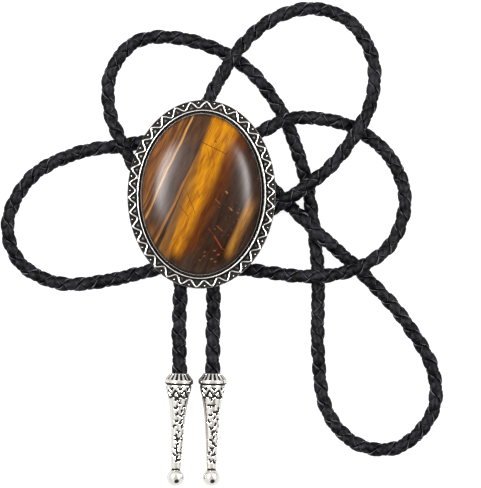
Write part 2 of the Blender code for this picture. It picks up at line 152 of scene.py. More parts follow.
cordShape = {
    "diameter": 4.1,
    "lift": 4.7,                    # rise of a run's centre where it passes over another
    "tipDrop": 57.5,                # from the slide's centre down to the tips' mouths
    "socketDepth": 8.0,
    "socketGap": 0.3,
    "stepsPerStop": 48,             # points of the line between two stops of the route
    # x, y from the slide's centre, and the lift as a share of one cord passing over another
    "route": [
        # from the left tip up over the lower run and through the clasp
        (-7.0, -43.0, 0.35), (-6.5, -29.0, 1), (-5.5, -17.0, 1), (-5.0, -9.0, 1), (-5.0, -1.0, 1),
        (-5.0, 6.0, 1), (-4.0, 13.5, 1), (1.7, 28.9, 1),
        # upper right loop
        (9.3, 42.8, 1), (17.2, 52.3, 0.2), (26.6, 58.3, 0), (38.0, 60.0, 0), (48.5, 55.5, 0),
        (55.3, 44.4, 0), (55.5, 33.0, 0.4), (52.4, 23.8, 1), (43.0, 10.5, 1), (34.5, 3.2, 1), (25.0, -3.3, 1),
        # low behind the slide
        (13.5, -10.5, 0.2), (0.5, -15.0, 0), (-12.5, -10.0, 0.15), (-20.5, 7.0, 1),
        # upper left loop and the long run down to the lower right
        (-25.5, 17.0, 1), (-29.3, 26.5, 0.1), (-29.3, 38.6, 0), (-22.5, 48.5, 0), (-11.5, 51.0, 0),
        (3.1, 47.8, 0), (14.9, 40.9, 0), (24.2, 29.6, 0), (30.0, 17.5, 0), (34.1, 3.5, 0), (36.6, -12.5, 0),
        (37.8, -27.5, 0),
        # lower right loop, then back up behind the slide
        (37.7, -49.0, 0), (40.4, -69.0, 0), (50.1, -80.2, 0), (64.1, -81.2, 0), (74.7, -70.1, 0),
        (74.6, -56.0, 0), (65.0, -39.5, 0), (53.3, -26.6, 0), (44.6, -18.4, 0.5), (35.7, -10.3, 1),
        (27.0, -2.0, 0.1), (16.5, 8.5, 0), (3.5, 17.0, 0), (-11.5, 18.0, 0), (-25.5, 16.0, 0),
        # left loop and the low run across to the right
        (-40.0, 13.5, 0), (-54.5, 6.0, 0), (-62.2, -8.0, 0), (-58.6, -21.6, 0), (-45.5, -28.5, 0),
        (-29.0, -27.3, 0), (-11.5, -23.5, 0), (4.0, -23.0, 0),
        # right loop
        (19.5, -24.7, 0), (30.5, -26.0, 0.7), (41.0, -26.0, 1), (52.0, -23.0, 1), (61.5, -15.5, 0.1),
        (65.9, -1.5, 0), (61.1, 12.1, 0), (50.5, 21.0, 0), (39.5, 24.5, 0.5), (28.5, 24.5, 1), (17.5, 19.4, 1),
        (8.5, 14.5, 1),
        # through the clasp and down to the right tip
        (5.5, 10.0, 1), (5.0, 6.0, 1), (5.0, -1.0, 1), (5.0, -9.0, 1), (4.5, -17.0, 1), (4.0, -29.0, 1),
        (4.0, -43.0, 0.35),
    ],
}

braid = {
    "pitch": 11.6,                  # one lace once round the cord
    "laceWidth": 3.4,
    "laceThickness": 0.95,
    "weaveDepth": 0.47,             # how far a lace rises and dips from its middle way
    "weaveSharpness": 1.1,          # 0 for a plain wave, more for a lace that stays up and dips fast
    "bulge": 0.33,                  # how far the lace on top stands over the cord's mean radius
    "endSwell": 0.07, "endRun": 48.0, "endFade": 12.0,  # the two hanging runs are a little fuller
    "coreRadius": 1.15,             # filler cord under the laces
    "steps": 2290, "endGap": 0.2,   # rings of a lace, and how far it stops short of the cord's ends
    "coreSteps": 900, "coreSides": 6, "coreEndGap": 0.4,
    "twist": 0.55,                  # slow turn of the whole braid, in radians
    "widthChange": 0.08,            # share of the width
    "heightChange": 0.05,           # in mm: the laces aren't pulled evenly tight
    "widthShift": 20.0, "heightShift": 13.0,    # these changes differ from lace to lace
    "tableGap": 0.03,
    "seed": 11,
    # across the lace: share of the half width, share of the half thickness
    "section": [(-1.0, 0.0), (-0.95, 0.66), (-0.65, 0.92), (0.0, 1.0), (0.65, 0.92), (0.95, 0.66), (1.0, 0.0),
                (0.8, -0.9), (0.0, -1.0), (-0.8, -0.9)],
}

tipShape = {
    "length": 36.5,
    "flangeDiameter": 9.2,
    "flangeEnd": 0.100,             # share of the length
    "ballDiameter": 5.6,
    "leftX": -7.0, "leftLean": -2.1,
    "rightX": 3.8, "rightLean": -0.8,
}


def tipPlace(x, lean):
    # the tip lies on its flange and its ball, and leans a little to one side
    flange = tipShape["flangeDiameter"] / 2 * mm
    ball = tipShape["ballDiameter"] / 2 * mm
    flangeEnd = tipShape["flangeEnd"] * tipShape["length"] * mm
    run = tipShape["length"] * mm - ball - flangeEnd
    pitch = math.atan2(flange, run) - math.asin(ball / math.hypot(flange, run))
    height = flange * math.cos(pitch) + flangeEnd * math.sin(pitch)
    turn = Matrix.Rotation(math.radians(lean), 4, "Z") @ Matrix.Rotation(pitch, 4, "X")
    return Matrix.Translation((x * mm, (view["slideY"] - cordShape["tipDrop"]) * mm, height)) @ turn


def cordCentreline():
    # a smooth curve through the route, with both ends inside the tips
    radius = cordShape["diameter"] / 2
    stops = []
    for x, y, lift in cordShape["route"]:
        stops.append(Vector((x, y + view["slideY"], radius + lift * cordShape["lift"])) * mm)
    left = tipPlace(tipShape["leftX"], tipShape["leftLean"])
    right = tipPlace(tipShape["rightX"], tipShape["rightLean"])
    inside = Vector((0, cordShape["socketGap"] - cordShape["socketDepth"], 0)) * mm
    mouth = Vector((0, 0, 0))
    stops = [left @ inside, left @ mouth] + stops + [right @ mouth, right @ inside]
    knots = [0.0]
    for before, after in zip(stops, stops[1:]):
        knots.append(knots[-1] + math.sqrt((after - before).length))
    last = len(stops) - 1
    slopes = []
    for i in range(len(stops)):
        low, high = max(i - 1, 0), min(i + 1, last)
        slopes.append((stops[high] - stops[low]) / (knots[high] - knots[low]))
    line = []
    for i in range(last):
        span = knots[i + 1] - knots[i]
        for k in range(cordShape["stepsPerStop"]):
            t = k / cordShape["stepsPerStop"]
            point = stops[i] * (2 * t ** 3 - 3 * t ** 2 + 1) + stops[i + 1] * (3 * t ** 2 - 2 * t ** 3)
            point += (slopes[i] * (t ** 3 - 2 * t ** 2 + t) + slopes[i + 1] * (t ** 3 - t ** 2)) * span
            point.z = max(point.z, radius * mm)
            line.append(point)
    line.append(stops[last])
    return line


cordLine = cordCentreline()
cordPoints = np.array([tuple(p) for p in cordLine])
cordReach = np.concatenate([[0], np.cumsum(np.linalg.norm(np.diff(cordPoints, axis=0), axis=1))])
cordLength = float(cordReach[-1])

# a side direction carried along the line without turning about it
cordSides = []
sideWay = Vector((0, 0, 1))
for i, point in enumerate(cordLine):
    way = (cordLine[min(i + 1, len(cordLine) - 1)] - cordLine[max(i - 1, 0)]).normalized()
    sideWay = (sideWay - way * sideWay.dot(way)).normalized()
    cordSides.append((*sideWay, *way.cross(sideWay)))
cordSides = np.array(cordSides)


def alongCord(reach, values):
    return np.stack([np.interp(reach, cordReach, values[:, k]) for k in range(values.shape[1])], axis=-1)


def slowWave(reach, waves):
    return sum(size * np.sin(reach * pace + start) for size, pace, start in waves)


def drawWaves(size, lengths):
    # waves of these lengths in mm, each from a start left to chance
    return [(size, math.tau / (length * mm), chance.uniform(0, 6)) for length in lengths]


chance = random.Random(braid["seed"])
twistWaves = drawWaves(braid["twist"] / 2, (170, 97, 61, 43))
widthWaves = drawWaves(braid["widthChange"] / 2, (37, 23, 14))
heightWaves = drawWaves(braid["heightChange"], (27, 17, 11))
laceReach = np.linspace(braid["endGap"] * mm, cordLength - braid["endGap"] * mm, braid["steps"])


def laceWave(reach):
    # 1 where the laces of hand 1 are on top and -1 where those of hand -1 are
    wave = np.cos(2 * math.tau / (braid["pitch"] * mm) * reach)
    return np.tanh(braid["weaveSharpness"] * wave) / math.tanh(braid["weaveSharpness"])


def laceRings(start, hand):
    # hand 1 turns one way round the cord and -1 the other; where they cross, one is on top
    pace = math.tau / (braid["pitch"] * mm)
    thickness = braid["laceThickness"] / 2
    middle = cordShape["diameter"] / 2 + braid["bulge"] - thickness - braid["weaveDepth"]
    lean = math.atan(math.tau * middle / braid["pitch"])
    radius = middle + hand * braid["weaveDepth"] * laceWave(laceReach)
    radius = radius + slowWave(laceReach + (start + hand) * braid["heightShift"] * mm, heightWaves)
    endAway = np.minimum(laceReach, cordLength - laceReach) / mm
    swell = 1 + braid["endSwell"] * (1 - smoothStep(endAway, braid["endRun"] - braid["endFade"], braid["endRun"]))
    width = braid["laceWidth"] / 2 * (1 + slowWave(laceReach + start * braid["widthShift"] * mm, widthWaves))
    outer = middle + 0.3            # where a lace's own width is measured round the cord
    rings = []
    for across, level in braid["section"]:
        offset = across * width
        place = np.clip(laceReach - hand * offset * math.sin(lean) * mm, 0, cordLength)
        angle = start + hand * pace * laceReach + offset * math.cos(lean) / outer
        angle = angle + slowWave(place, twistWaves)
        out = (radius + level * thickness) * swell * mm
        sides = alongCord(place, cordSides)
        centre = alongCord(place, cordPoints)
        ring = centre + (out * np.cos(angle))[:, None] * sides[:, :3]
        ring = ring + (out * np.sin(angle))[:, None] * sides[:, 3:]
        ring[:, 2] = np.maximum(ring[:, 2], braid["tableGap"] * mm)     # pressed flat where it lies on the table
        rings.append(ring)
    return np.stack(rings, axis=1)


def coreRings():
    reach = np.linspace(braid["coreEndGap"] * mm, cordLength - braid["coreEndGap"] * mm, braid["coreSteps"])
    sides, centre = alongCord(reach, cordSides), alongCord(reach, cordPoints)
    rings = []
    for k in range(braid["coreSides"]):
        swing, radius = math.tau * k / braid["coreSides"], braid["coreRadius"] * mm
        rings.append(centre + radius * (math.cos(swing) * sides[:, :3] + math.sin(swing) * sides[:, 3:]))
    return np.stack(rings, axis=1)


def waxedBraidedLeather():
    # black calf laces, dyed through and waxed by hand: a soft satin gleam on each lace, thin light grey lines
    # along the lace edges, and painted shade where a lace dips under another
    material, tree, shader = startMaterial("waxed black calf leather", {"Metallic": 0.0, "Roughness": 0.45,
                                                                 "Specular IOR Level": 0.03})
    place = addNode(tree, "TexCoord").outputs["Object"]
    # 0.4 mm hair pores, 5 mm patches of more or less wax, 1 mm scuffs and creases
    grain = addNode(tree, "TexNoise", {"Vector": place, "Scale": 2600.0, "Detail": 4.0, "Roughness": 0.6})
    patches = addNode(tree, "TexNoise", {"Vector": place, "Scale": 190.0, "Detail": 3.0})
    creases = addNode(tree, "TexNoise", {"Vector": place, "Scale": 950.0, "Detail": 2.0})
    mottle = addNode(tree, "Math", {0: patches.outputs["Fac"], 1: creases.outputs["Fac"]}, operation="ADD")
    tone = addNode(tree, "MapRange", {"Value": mottle.outputs[0], "From Min": 0.88, "From Max": 1.20})
    body = addNode(tree, "Mix", {0: tone.outputs[0], 6: linearColor("#010102"), 7: linearColor("#27272E")},
                   data_type="RGBA")
    edge = addNode(tree, "Attribute", attribute_name="laceEdge", attribute_type="GEOMETRY")
    edgeLine = addNode(tree, "MapRange", {"Value": edge.outputs["Fac"], "From Min": 0.90, "From Max": 0.98})
    # the edge lines grow stronger and fainter over 2 mm stretches
    edgeLineNoise = addNode(tree, "TexNoise", {"Vector": place, "Scale": 480.0, "Detail": 2.0})
    edgeLineStrength = addNode(tree, "MapRange", {"Value": edgeLineNoise.outputs["Fac"], "From Min": 0.38, "From Max": 0.62,
                                      "To Min": 0.1, "To Max": 1.0})
    edgeShare = addNode(tree, "Math", {0: edgeLine.outputs[0], 1: edgeLineStrength.outputs[0]}, operation="MULTIPLY")
    colour = addNode(tree, "Mix", {0: edgeShare.outputs[0], 6: body.outputs[2], 7: linearColor("#878791")},
                     data_type="RGBA")
    # painted shade: black where a lace dips under another
    rise = addNode(tree, "Attribute", attribute_name="laceRise", attribute_type="GEOMETRY")
    shade = addNode(tree, "MapRange", {"Value": rise.outputs["Fac"], "From Min": 0.35, "From Max": 0.75,
                                       "To Min": 1.0, "To Max": 0.0})
    colour = addNode(tree, "Mix", {0: shade.outputs[0], 6: colour.outputs[2], 7: linearColor("#020203")},
                     data_type="RGBA")
    tree.links.new(colour.outputs[2], shader.inputs["Base Color"])
    gloss = addNode(tree, "MapRange", {"Value": grain.outputs["Fac"], "To Min": 0.40, "To Max": 0.60})
    tree.links.new(gloss.outputs[0], shader.inputs["Roughness"])
    bump = addNode(tree, "Bump", {"Height": grain.outputs["Fac"], "Strength": 0.4, "Distance": 0.00015})
    tree.links.new(bump.outputs[0], shader.inputs["Normal"])
    return material


leather = waxedBraidedLeather()
lacePoints, laceFaces, laceEdges, laceRise = [], [], [], []
sectionSize = len(braid["section"])
edgeShares = [abs(across) if level > -0.5 else 0.0 for across, level in braid["section"]]
for start, hand in ((0, 1), (math.pi, 1), (0, -1), (math.pi, -1)):
    laceFaces += tubeFaces(braid["steps"], sectionSize, len(lacePoints))
    lacePoints += laceRings(start, hand).reshape(-1, 3).tolist()
    laceEdges += edgeShares * braid["steps"]
    laceRise += np.repeat((1 + hand * laceWave(laceReach)) / 2, sectionSize).tolist()
laceFaces += tubeFaces(braid["coreSteps"], braid["coreSides"], len(lacePoints))
lacePoints += coreRings().reshape(-1, 3).tolist()
coreValues = [0.0] * (braid["coreSteps"] * braid["coreSides"])
laceEdges += coreValues
laceRise += coreValues
braidedCord = makePiece("braided_cord", lacePoints, laceFaces, leather, 50)
storeValues(braidedCord, "laceEdge", laceEdges)
storeValues(braidedCord, "laceRise", laceRise)
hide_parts("cord")
print("cord braided,", round(cordLength * 1000), "mm")


def antiqueSilver(name, speckMm, gloss):
    # cast silver-plated zinc, blackened and buffed: white gleam where the mop reached, near-black in the hollows;
    # the polish values also carry painted shade on the tips' flanks and under the flange, and painted light and
    # shade on the right of the slide's bezel
    material, tree, shader = startMaterial(name, {"Metallic": 1.0, "Roughness": 0.2})
    place = addNode(tree, "TexCoord").outputs["Object"]
    polish = addNode(tree, "Attribute", attribute_name="polish", attribute_type="GEOMETRY")
    specks = addNode(tree, "TexNoise", {"Vector": place, "Scale": 1 / (speckMm * mm), "Detail": 5.0,
                                        "Roughness": 0.65})
    worn = addNode(tree, "MapRange", {"Value": specks.outputs["Fac"], "To Min": -0.16, "To Max": 0.16})
    reached = addNode(tree, "Math", {0: polish.outputs["Fac"], 1: worn.outputs[0]}, operation="ADD")
    share = addNode(tree, "MapRange", {"Value": reached.outputs[0], "From Min": 0.38, "From Max": 0.78},
                    interpolation_type="SMOOTHSTEP")
    colour = addNode(tree, "Mix", {0: share.outputs[0], 6: linearColor("#131211"), 7: linearColor("#BFBBB6")},
                     data_type="RGBA")
    tree.links.new(colour.outputs[2], shader.inputs["Base Color"])
    dull = addNode(tree, "MapRange", {"Value": share.outputs[0], "To Min": 0.6, "To Max": gloss})
    tree.links.new(dull.outputs[0], shader.inputs["Roughness"])
    bump = addNode(tree, "Bump", {"Height": specks.outputs["Fac"], "Strength": 0.12, "Distance": 0.00008})
    tree.links.new(bump.outputs[0], shader.inputs["Normal"])
    return material


# oval cast plate with a zigzag border and a plain bezel round the stone

slide = {
    "plateWidth": 47.9, "plateLength": 60.9,
    "askew": -1.8,                  # degrees that the slide lies turned on its cords
    "shift": (0.2, 0.2),            # its own centre, from the middle of the cords
    "floor": 10.7,                  # height over the table
    "border": 3.1,                  # from the plate's edge in to the bezel
    "bezelHeight": 2.1,
    "edgeSamples": 7201,
    "teeth": 34, "firstPeak": 4.8,  # degrees clockwise from the top
    "columnsPerTooth": 36,
    "borderStart": 0.1, "borderRows": 32,
    "rimWidth": 0.38, "rimHeight": 0.42, "rimPolish": 0.44,
    "peakInset": 0.60, "valleyInset": 2.56,
    "peakPoint": 0.08,              # 0 for a plain wave, more for peaks that are pointed toward the rim
    "ridgeWidth": 0.58, "ridgeHeight": 0.55, "ridgeFlatness": 0.36, "ridgePolish": 0.88,
    "beadInset": 0.86, "beadRadius": 0.33, "beadHeight": 0.38, "beadPolish": 0.69,
    "wedgeInset": 2.5, "wedgeLength": 0.85, "wedgeWidth": 0.75, "wedgeHeight": 0.32, "wedgePolish": 0.50,
    # how far the teeth stray from even spacing, in degrees of the way round: a steady part, then sine and cosine
    # of one wave a turn and of two
    "drift": (-2.75, 0.34, -0.03, 1.54, 0.01),
    # the plate's back and edge: inset, height over the floor, polish
    "underRows": [(6.0, -1.6, 0.5), (0.5, -1.6, 0.5), (0.15, -1.45, 0.5), (0.0, -1.1, 0.45), (0.0, -0.4, 0.42),
                  (0.0, 0.12, 0.4), (0.05, 0.30, 0.4)],
    # way in from the border, depth under the bezel's top, polish, and what way and polish gain toward the right;
    # the polish gain is painted light and shade on the bezel's right side
    "bezelRows": [
        (0.0, 1.4, 0.1, 0.0, 0.0), (0.0, 0.45, 0.4, 0.0, 0.0), (0.05, 0.2, 0.42, 0.0, 0.0),
        (0.13, 0.04, 0.58, 0.0, 0.0), (0.23, 0.0, 0.72, 0.04, -0.16), (0.35, 0.02, 0.52, 0.26, -0.06),
        (0.44, 0.2, 0.15, 0.26, 0.0), (0.56, 0.5, 0.0, 0.24, 0.0), (1.0, 0.62, 0.0, 0.1, 0.0),
        (1.24, 0.62, 0.0, 0.2, 0.0), (1.29, 0.6, 0.68, 0.2, 0.06), (1.37, 0.62, 0.68, 0.2, 0.06),
        (1.43, 0.8, 0.1, 0.2, 0.0), (1.45, 1.8, 0.0, 0.2, 0.0), (1.45, 2.08, 0.0, 0.2, 0.0),
        (4.2, 2.08, 0.0, 0.2, 0.0),
    ],
}


def ovalTurns(count):
    # turns at which points lie nearly evenly along the plate's edge, from the first peak on
    turns = math.radians(slide["firstPeak"]) + np.linspace(0, math.tau, slide["edgeSamples"])
    x, y = slide["plateWidth"] / 2 * np.sin(turns), slide["plateLength"] / 2 * np.cos(turns)
    reach = np.concatenate([[0], np.cumsum(np.hypot(np.diff(x), np.diff(y)))])
    way = math.tau * np.arange(count) / count
    steady, sine, cosine, sineTwice, cosineTwice = np.radians(slide["drift"])
    stray = steady + sine * np.sin(way) + cosine * np.cos(way)
    stray = stray + sineTwice * np.sin(2 * way) + cosineTwice * np.cos(2 * way)
    return np.interp((way + stray) % math.tau / math.tau * reach[-1], reach, turns), reach[-1]


def ovalRing(turns, inset):
    # points inset square to the plate's edge
    x, y = slide["plateWidth"] / 2 * np.sin(turns), slide["plateLength"] / 2 * np.cos(turns)
    outX, outY = x / slide["plateWidth"] ** 2, y / slide["plateLength"] ** 2
    size = np.hypot(outX, outY)
    return x - outX / size * inset, y - outY / size * inset


def layAskew(x, y):
    # from the slide's own middle to its place on the table
    swing = math.radians(slide["askew"])
    shiftX, shiftY = slide["shift"]
    placedX = x * math.cos(swing) - y * math.sin(swing) + shiftX
    placedY = x * math.sin(swing) + y * math.cos(swing) + shiftY + view["slideY"]
    return placedX, placedY


def borderRelief(inset, phase, toothLength):
    # height over the floor and polish at one inset, for tooth phases from 0 at a peak to 1 at the next
    away = np.minimum(phase, 1 - phase)
    # the ridge's middle line, from before this tooth to past the next
    stops = np.linspace(-0.6, 1.6, 331)
    stopAway = np.abs((stops + 0.5) % 1 - 0.5)
    wave = (1 - slide["peakPoint"]) * (0.5 - 0.5 * np.cos(math.tau * stopAway))
    wave = wave + slide["peakPoint"] * np.sin(math.pi * stopAway)
    middle = slide["peakInset"] + (slide["valleyInset"] - slide["peakInset"]) * wave
    distance = np.hypot((phase[:, None] - stops) * toothLength, inset - middle).min(axis=1)
    ridge = np.clip(1 - (distance / (slide["ridgeWidth"] / 2)) ** 2, 0, 1)
    height = slide["ridgeHeight"] * ridge ** slide["ridgeFlatness"]
    polish = np.clip(ridge * 1.9, 0, slide["ridgePolish"])
    beadAway = np.hypot((away - 0.5) * toothLength, inset - slide["beadInset"]) / slide["beadRadius"]
    bead = np.sqrt(np.clip(1 - beadAway ** 2, 0, 1))
    height = np.maximum(height, bead * slide["beadHeight"])
    polish = np.maximum(polish, bead * slide["beadPolish"])
    # a low wedge that rises to the bezel
    wedgeShare = 1 - (slide["wedgeInset"] - inset) / slide["wedgeLength"]
    inWedge = (wedgeShare > 0) & (wedgeShare < 1.3) & (away * toothLength < slide["wedgeWidth"] * wedgeShare)
    height = np.maximum(height, np.where(inWedge, slide["wedgeHeight"] * min(wedgeShare + 0.2, 1), 0))
    polish = np.maximum(polish, np.where(inWedge, slide["wedgePolish"] - 0.1 * wedgeShare, 0))
    rim = 1 - smoothStep(inset, slide["rimWidth"] - 0.12, slide["rimWidth"] + 0.05)
    height = np.maximum(height, rim * slide["rimHeight"])
    polish = np.maximum(polish, rim * slide["rimPolish"])
    return height, polish


silverSlide = antiqueSilver("antique silver, slide", 0.9, 0.3)
columns = slide["teeth"] * slide["columnsPerTooth"]
turns, edgeLength = ovalTurns(columns)
phase = (np.arange(columns) % slide["columnsPerTooth"]) / slide["columnsPerTooth"]
slideRings, slidePolish = [], []


def addSlideRing(inset, height, polish):
    x, y = layAskew(*ovalRing(turns, inset))
    z = np.broadcast_to(height, x.shape) + slide["floor"]
    slideRings.append(np.stack([x, y, z], axis=1) * mm)
    slidePolish.append(np.broadcast_to(polish, x.shape))


for inset, height, polish in slide["underRows"]:
    addSlideRing(inset, height, polish)
for inset in np.linspace(slide["borderStart"], slide["border"], slide["borderRows"]):
    height, polish = borderRelief(inset, phase, edgeLength / slide["teeth"])
    addSlideRing(inset, height, polish)
rightShare = np.clip(np.sin(turns), 0, 1)
# the polish gain paints light and shade on the bezel's right side
for wayIn, depth, polish, wayGain, paintedLightGain in slide["bezelRows"]:
    inset = slide["border"] + wayIn + wayGain * rightShare
    addSlideRing(inset, slide["bezelHeight"] - depth, polish + paintedLightGain * rightShare)
slideFaces = tubeFaces(len(slideRings), columns, 0)
castSlide = makePiece("cast_slide", np.concatenate(slideRings), slideFaces, silverSlide, 60)
storeValues(castSlide, "polish", np.concatenate(slidePolish))
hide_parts("setting")
print("slide cast")


# high polished oval dome of tiger's eye

stone = {
    "inset": 4.6, "insetGain": 0.2,     # from the plate's edge, and what it gains toward the right
    "base": 11.0, "girdle": 1.4, "height": 9.0,
    "edgeShade": (13.4, 15.6),          # heights over the table between which the dark edge fades out
    "domePower": 2.3,
    "columns": 180, "rings": 44,
    "bandLean": 65.0,                   # degrees from level
    "lowerFade": 2.5, "upperFade": 4.0,  # how softly a band ends
    # left edge, lean, softness, right edge, lean, softness, lower end, upper end, dark and light colour;
    # the edges lie across the bands and the ends along them, in mm from the stone's middle, and an end 40 mm away
    # lies outside the stone
    "bands": [
        (-30.0, 0.0, 0.5, -13.0, 0.0, 0.6, -40, 40, "#4E2C14", "#8C5629"),
        (-16.9, 0.01, 0.25, -16.5, 0.01, 0.25, -4, 40, "#4A2A12", "#7A4C24"),
        (-17.8, 0.0, 0.2, -17.5, 0.0, 0.2, 1, 40, "#68431F", "#8C6030"),
        (-15.9, 0.0, 0.2, -15.7, 0.0, 0.2, -40, 40, "#744C26", "#9A6C3A"),
        (-15.4, 0.01, 0.25, -15.0, 0.01, 0.25, -40, 40, "#38200F", "#5A381C"),
        (-14.3, 0.01, 0.2, -13.9, 0.01, 0.2, -40, 40, "#332014", "#4A3018"),
        (-13.4, 0.0, 0.3, -12.8, 0.0, 0.3, -40, 40, "#9A6834", "#CC9A58"),
        (-12.7, 0.0, 0.5, -6.9, 0.0, 0.8, -40, 40, "#3A2416", "#5E3E28"),
        # painted reflection: a greyer middle stretch of the dark band, for the softbox's sheen over it
        (-12.4, 0.0, 1.0, -7.2, 0.0, 1.0, -13, 13, "#3A2A22", "#5C463C"),
        (-7.0, 0.02, 0.3, -6.2, 0.02, 0.4, -40, 40, "#7A4A1C", "#AC7030"),
        (-6.1, -0.05, 0.4, -3.4, -0.12, 0.6, -40, 40, "#644018", "#8C5C2A"),
        (-3.0, -0.12, 1.0, 5.6, 0.0, 5.4, -21, 40, "#461C00", "#703702"),
        (-4.3, -0.12, 1.3, 1.8, 0.0, 3.2, -20.8, 40, "#8C4D00", "#DA9008"),
        (-5.4, -0.12, 1.0, -3.2, -0.12, 1.6, -2, 5, "#70460F", "#A87022"),
        (-11.6, 0.0, 1.2, -8.8, 0.0, 1.2, -40, -17, "#6E4218", "#A06C30"),
        # painted reflection: lighter grey-brown low on the right, for the lower surroundings mirrored in the dome
        (3.5, 0.0, 2.0, 30.0, 0.0, 1.0, -40, -18, "#302118", "#4A372B"),
        (14.7, 0.0, 1.6, 17.6, 0.02, 2.2, -13.8, 4.5, "#74481A", "#B07A30"),
    ],
    "ground": ("#24140B", "#40281A"),
    # start x y, end x y, width, colour, strength
    "veins": [
        ((0.0, 17.2), (8.2, 13.2), 0.22, "#5A2C08", 0.8),
        ((3.3, 16.8), (4.4, 9.5), 0.18, "#7A400C", 0.6),
        ((2.1, 15.2), (2.6, 12.6), 0.20, "#7A400C", 0.6),
        ((-6.9, -3.5), (-4.2, -6.8), 0.20, "#5A2C08", 0.7),
        ((-4.3, 0.5), (-1.9, -5.9), 0.20, "#5A2C08", 0.7),
        ((-1.4, 1.6), (-0.3, -1.2), 0.16, "#6A3608", 0.6),
        ((2.4, -10.8), (4.6, -13.6), 0.22, "#6E2409", 0.75),
        ((4.4, -13.4), (6.6, -17.0), 0.32, "#A04018", 0.8),
        ((6.8, -17.4), (8.6, -18.0), 0.38, "#7A3020", 0.6),
        ((5.2, -10.0), (6.9, -11.6), 0.28, "#8A5020", 0.7),
        # single mineral flecks
        ((4.6, 17.3), (4.8, 17.2), 0.40, "#3A2008", 0.8),
        ((8.1, 1.1), (8.5, 0.6), 0.40, "#B07440", 0.75),
        ((4.7, -1.4), (6.1, -2.8), 0.24, "#9A6432", 0.55),
        ((9.5, -4.4), (10.0, -4.9), 0.42, "#A06A48", 0.75),
        ((11.7, -5.7), (12.1, -5.9), 0.36, "#8E4A3C", 0.7),
        ((4.1, -17.9), (4.6, -18.0), 0.38, "#945246", 0.75),
        ((5.4, -19.3), (5.8, -19.2), 0.42, "#9C5040", 0.75),
        ((1.1, -18.5), (1.4, -18.3), 0.36, "#86503C", 0.7),
        ((0.8, -19.8), (1.2, -19.6), 0.34, "#8A5444", 0.7),
        ((3.2, -20.7), (3.7, -20.6), 0.34, "#8E6450", 0.7),
        ((4.4, -21.6), (4.8, -21.5), 0.34, "#8E6450", 0.7),
        ((-0.6, -21.1), (-0.2, -21.0), 0.34, "#7E5646", 0.6),
    ],
}


